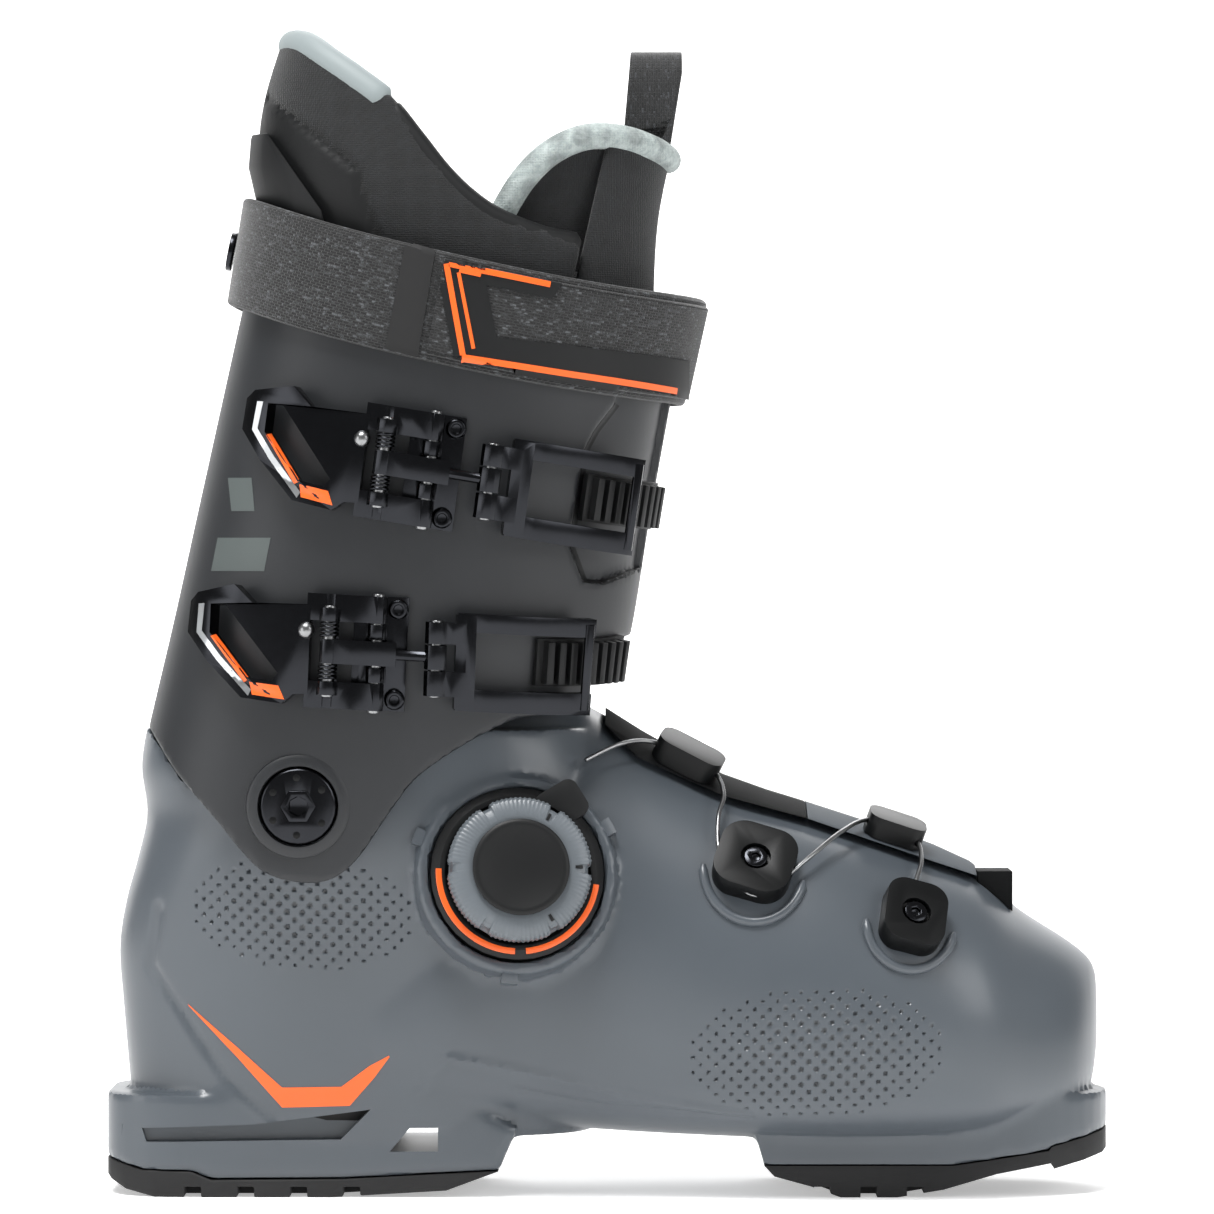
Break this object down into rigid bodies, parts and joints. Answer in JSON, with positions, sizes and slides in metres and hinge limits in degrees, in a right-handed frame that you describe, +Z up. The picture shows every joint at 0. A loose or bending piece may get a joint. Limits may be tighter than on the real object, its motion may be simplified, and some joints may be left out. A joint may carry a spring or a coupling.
{
  "type": "alpine ski boot",
  "caption": "Right alpine ski boot: hollow shell, hinged cuff with two buckles and power strap, lace dial over the instep, soft liner and rubber soles.",
  "frame": {"origin": "middle of the footprint of the whole boot, on the ground", "axes": "+X to the toe, +Y to the inner side of the right foot, +Z up"},
  "size_m": [0.305, 0.129, 0.3537],
  "materials": {
    "shell_plastic": "smooth satin moulded polyether grey",
    "cuff_plastic": "satin charcoal moulded plastic",
    "black_plastic": "moulded black plastic",
    "dial_grey": "soft grey grip",
    "sole_rubber": "moulded tread rubber",
    "steel": "bright turned steel",
    "black_alloy": "black anodised alloy",
    "webbing": "coarse woven webbing",
    "liner_knit": "dark melange knit",
    "pale_knit": "pale smooth textile",
    "orange_accent": "orange inlay"
  },
  "bodies": {
    "shell": {"lower_shell": "shell_plastic", "heel_sole": "sole_rubber", "toe_sole": "sole_rubber", "heel_screw_outer": "steel", "heel_screw_inner": "steel", "toe_screw_outer": "steel", "toe_screw_inner": "steel", "instep_insert": "black_plastic", "instep_flap": "shell_plastic", "toe_seal": "black_plastic", "top_guide_rear": "black_plastic", "top_guide_front": "black_plastic", "side_guide": "black_plastic", "side_guide_screw": "steel", "lace_anchor": "black_plastic", "lace_anchor_screw": "steel", "steel_lace": "steel", "dial_base": "black_plastic", "boot_board": "black_plastic", "liner_foot": "liner_knit", "footbed": "pale_knit", "inner_pivot": "black_alloy"},
    "cant_disc": {"cant_disc": "black_alloy"},
    "dial_spool": {"dial_spool": "black_plastic"},
    "dial_knob": {"dial_knob": "dial_grey", "dial_cap": "black_plastic"},
    "cuff": {"cuff": "cuff_plastic", "spoiler": "black_plastic", "power_strap": "webbing", "strap_rivet": "black_alloy", "liner_cuff": "liner_knit", "liner_tongue": "liner_knit", "pull_loop": "webbing", "upper_bracket": "black_alloy", "upper_hinge_pin": "steel", "upper_rack": "black_plastic", "lower_bracket": "black_alloy", "lower_hinge_pin": "steel", "lower_rack": "black_plastic"},
    "strap_end": {"strap_end": "webbing"},
    "upper_lever": {"upper_lever": "black_alloy", "upper_link_pin": "steel"},
    "upper_link": {"upper_link": "black_alloy", "upper_catch_pin": "steel"},
    "upper_catch": {"upper_catch": "black_alloy"},
    "lower_lever": {"lower_lever": "black_alloy", "lower_link_pin": "steel"},
    "lower_link": {"lower_link": "black_alloy", "lower_catch_pin": "steel"},
    "lower_catch": {"lower_catch": "black_alloy"}
  },
  "joints": [
    {"name": "cuff_flex", "type": "hinge", "parent": "shell", "child": "cuff", "pos_m": [-0.0927, 0.00445, 0.1188], "axis": [0, 1, 0], "range_deg": [0, 6], "stiffness_Nm_per_rad": 120},
    {"name": "cant_turn", "type": "hinge", "parent": "shell", "child": "cant_disc", "pos_m": [-0.0927, 0.00445, 0.1188], "axis": [0, -1, 0], "range_deg": [-90, 90]},
    {"name": "dial_turn", "type": "hinge", "parent": "shell", "child": "dial_spool", "pos_m": [-0.0277, -0.04292, 0.0978], "axis": [0.1005, -0.9744, 0.2009], "continuous": true},
    {"name": "dial_release", "type": "slide", "parent": "dial_spool", "child": "dial_knob", "axis": [0.1005, -0.9744, 0.2009], "range_m": [0, 0.003]},
    {"name": "strap_peel", "type": "hinge", "parent": "cuff", "child": "strap_end", "pos_m": [-0.05293, -0.05755, 0.27233], "axis": [-0.2164, 0, -0.9763], "range_deg": [0, 100]},
    {"name": "upper_lever_open", "type": "hinge", "parent": "cuff", "child": "upper_lever", "pos_m": [-0.05344, -0.05775, 0.21908], "axis": [0.1331, -0.0001, 0.9911], "range_deg": [0, 140]},
    {"name": "upper_link_turn", "type": "hinge", "parent": "upper_lever", "child": "upper_link", "pos_m": [-0.06714, -0.06132, 0.22132], "axis": [0.1331, -0.0001, 0.9911], "range_deg": [-140, 0]},
    {"name": "upper_catch_swing", "type": "hinge", "parent": "upper_link", "child": "upper_catch", "pos_m": [-0.03549, -0.06042, 0.2161], "axis": [-0.1364, 0.0073, -0.9906], "range_deg": [0, 60]},
    {"name": "lower_lever_open", "type": "hinge", "parent": "cuff", "child": "lower_lever", "pos_m": [-0.06922, -0.0569, 0.1645], "axis": [0.0496, -0.0289, 0.9983], "range_deg": [0, 140]},
    {"name": "lower_link_turn", "type": "hinge", "parent": "lower_lever", "child": "lower_link", "pos_m": [-0.08327, -0.06015, 0.16529], "axis": [0.0496, -0.0289, 0.9983], "range_deg": [-140, 0]},
    {"name": "lower_catch_swing", "type": "hinge", "parent": "lower_link", "child": "lower_catch", "pos_m": [-0.05145, -0.06029, 0.1635], "axis": [-0.0371, 0.0474, -0.9982], "range_deg": [0, 60]}
  ],
  "couplings": [
    {"joint": "upper_link_turn", "follows": "upper_lever_open", "ratio": -1},
    {"joint": "lower_link_turn", "follows": "lower_lever_open", "ratio": -1}
  ]
}
